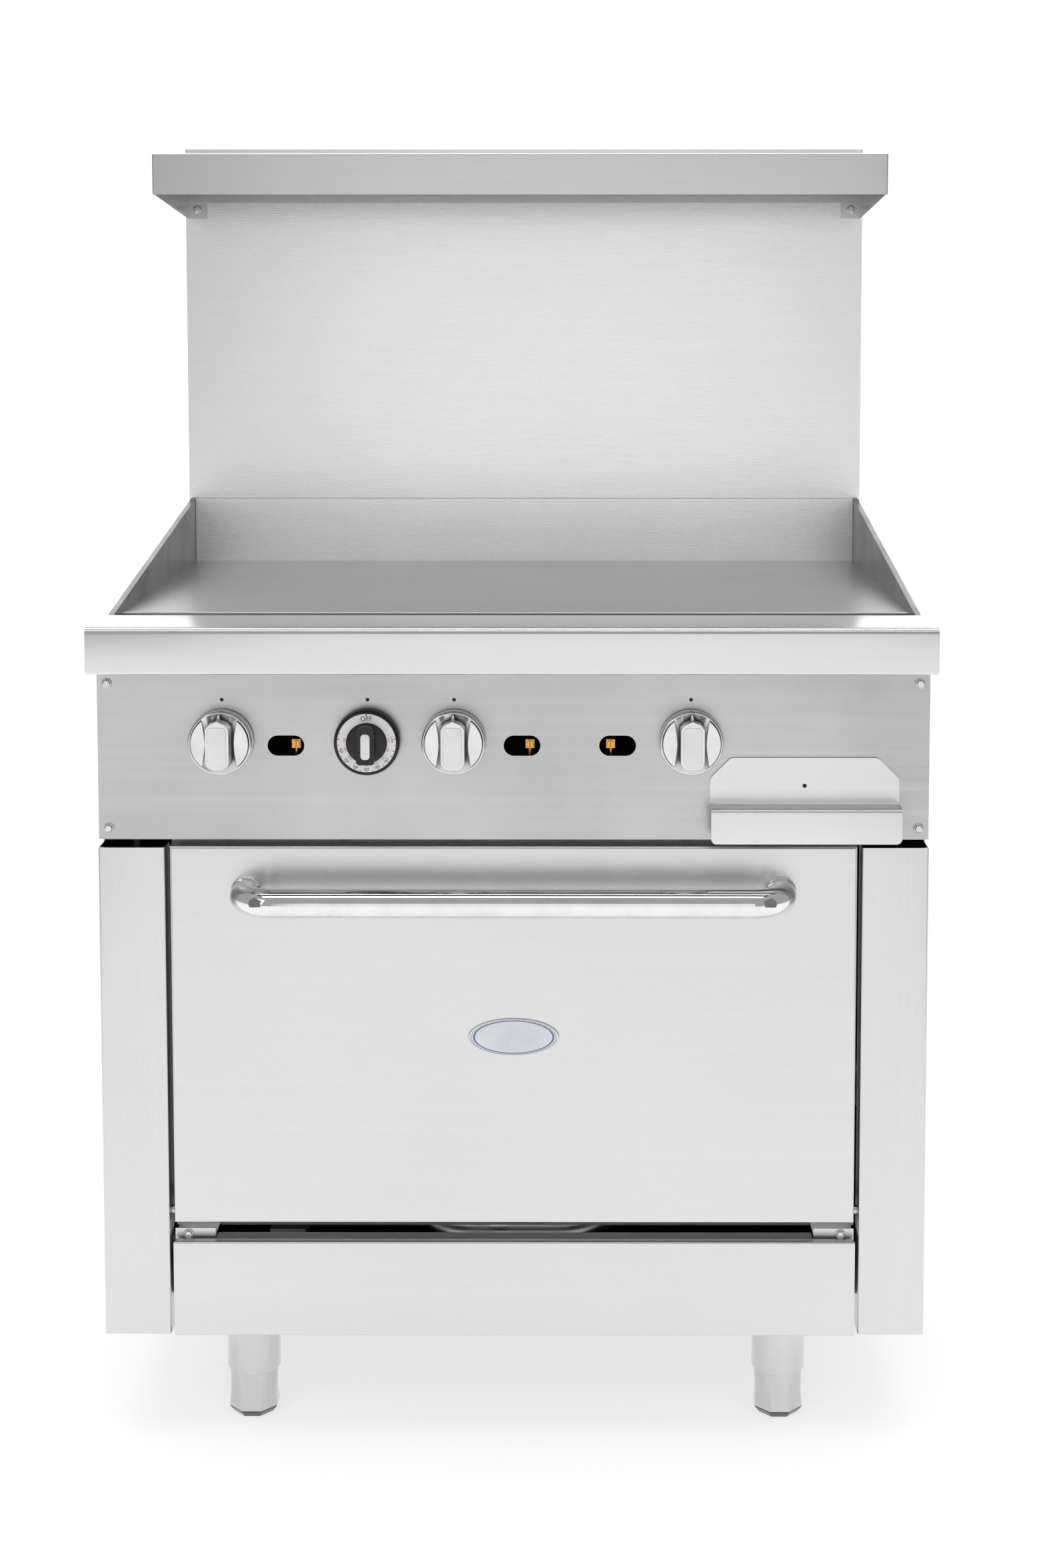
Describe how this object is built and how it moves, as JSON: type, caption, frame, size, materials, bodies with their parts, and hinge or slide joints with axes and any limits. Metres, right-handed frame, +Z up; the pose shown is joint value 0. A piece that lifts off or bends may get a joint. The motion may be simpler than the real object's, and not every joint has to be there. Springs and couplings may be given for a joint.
{
  "type": "commercial gas range",
  "caption": "Commercial gas range: griddle top with splash plates, grease drawer, oven with a drop-down door, knobs, back guard with a high shelf, adjustable legs.",
  "frame": {"origin": "on the floor, under the middle of the overall box", "axes": "+Z up, the range faces -Y, +X is its right-hand side seen from the front"},
  "size_m": [0.9144, 0.8194, 1.48],
  "materials": {
    "stainless": "fine horizontal brushed stainless sheet",
    "galvanised": "aluminised sheet",
    "frame_steel": "black painted channel",
    "leg_steel": "stainless legs with cast feet",
    "griddle_steel": "ground steel plate",
    "burner_steel": "aluminised tube",
    "chrome": "polished",
    "badge": "satin plate, no lettering",
    "dial_black": null,
    "brass": "machined",
    "cast_body": "die cast",
    "red_button": "moulded",
    "black_pipe": "black iron gas pipe",
    "gas_tube": "bent tube",
    "enamel": "dark porcelain enamel on steel",
    "wool": "mineral wool",
    "wire": "plated wire",
    "zinc": "zinc plated"
  },
  "bodies": {
    "cabinet": {"control_panel": "stainless", "bullnose_rail": "stainless", "kick_panel": "stainless", "front_post_left": "stainless", "front_post_right": "stainless", "side_panel_left": "stainless", "side_panel_right": "stainless", "back_guard": "stainless", "high_shelf": "stainless", "shelf_bracket_left": "stainless", "shelf_bracket_right": "stainless", "griddle_splash": "stainless", "grease_trough": "stainless", "rear_panel": "galvanised", "flue_back": "galvanised", "flue_riser": "galvanised", "oven_front_frame": "galvanised", "burner_baffle": "galvanised", "base_frame": "frame_steel", "leg_tubes": "leg_steel", "griddle_plate": "griddle_steel", "griddle_burners": "burner_steel", "oven_burner": "burner_steel", "griddle_valves": "brass", "pilot_valves": "brass", "hinge_bearings": "brass", "thermostat_body": "cast_body", "safety_valve": "cast_body", "gas_manifold": "black_pipe", "gas_inlet_pipe": "black_pipe", "oven_gas_tube": "gas_tube", "oven_liner": "enamel", "oven_deck": "enamel", "oven_insulation": "wool", "rack_guides": "wire", "door_springs": "wire", "hex_bolts": "zinc", "panel_screws": "zinc"},
    "door": {"door_outer": "stainless", "door_inner": "enamel", "door_insulation": "wool", "door_handle": "chrome", "door_badge": "badge", "hinge_shafts": "zinc"},
    "drawer": {"grease_drawer": "stainless", "drawer_front": "stainless"},
    "left_knob": {"knob_left": "chrome", "valve_stem_left": "brass"},
    "middle_knob": {"knob_middle": "chrome", "valve_stem_middle": "brass"},
    "right_knob": {"knob_right": "chrome", "valve_stem_right": "brass"},
    "dial": {"thermostat_dial": "dial_black", "thermostat_stem": "brass"},
    "rack": {"oven_rack": "wire"},
    "reset_button": {"safety_button": "red_button"},
    "front_left_foot": {"foot_front_left": "leg_steel"},
    "front_right_foot": {"foot_front_right": "leg_steel"},
    "rear_left_foot": {"foot_rear_left": "leg_steel"},
    "rear_right_foot": {"foot_rear_right": "leg_steel"}
  },
  "joints": [
    {"name": "door_hinge", "type": "hinge", "parent": "cabinet", "child": "door", "pos_m": [0, -0.326, 0.262], "axis": [1, 0, 0], "range_deg": [0, 90], "deforming": ["door_springs"]},
    {"name": "drawer_slide", "type": "slide", "parent": "cabinet", "child": "drawer", "axis": [0, -1, 0], "range_m": [0, 0.36]},
    {"name": "left_knob_turn", "type": "hinge", "parent": "cabinet", "child": "left_knob", "pos_m": [-0.32, -0.3457, 0.795], "axis": [0, -1, 0], "range_deg": [0, 90]},
    {"name": "middle_knob_turn", "type": "hinge", "parent": "cabinet", "child": "middle_knob", "pos_m": [-0.065, -0.3457, 0.795], "axis": [0, -1, 0], "range_deg": [0, 90]},
    {"name": "right_knob_turn", "type": "hinge", "parent": "cabinet", "child": "right_knob", "pos_m": [0.195, -0.3457, 0.795], "axis": [0, -1, 0], "range_deg": [0, 90]},
    {"name": "dial_turn", "type": "hinge", "parent": "cabinet", "child": "dial", "pos_m": [-0.16, -0.3457, 0.795], "axis": [0, -1, 0], "range_deg": [0, 280]},
    {"name": "rack_slide", "type": "slide", "parent": "cabinet", "child": "rack", "axis": [0, -1, 0], "range_m": [0, 0.015]},
    {"name": "reset_press", "type": "slide", "parent": "cabinet", "child": "reset_button", "axis": [0, 1, 0], "range_m": [0, 0.006], "stiffness_N_per_m": 300, "springref_m": -0.004},
    {"name": "front_left_foot_level", "type": "slide", "parent": "cabinet", "child": "front_left_foot", "axis": [0, 0, -1], "range_m": [0, 0.025]},
    {"name": "front_right_foot_level", "type": "slide", "parent": "cabinet", "child": "front_right_foot", "axis": [0, 0, -1], "range_m": [0, 0.025]},
    {"name": "rear_left_foot_level", "type": "slide", "parent": "cabinet", "child": "rear_left_foot", "axis": [0, 0, -1], "range_m": [0, 0.025]},
    {"name": "rear_right_foot_level", "type": "slide", "parent": "cabinet", "child": "rear_right_foot", "axis": [0, 0, -1], "range_m": [0, 0.025]}
  ]
}
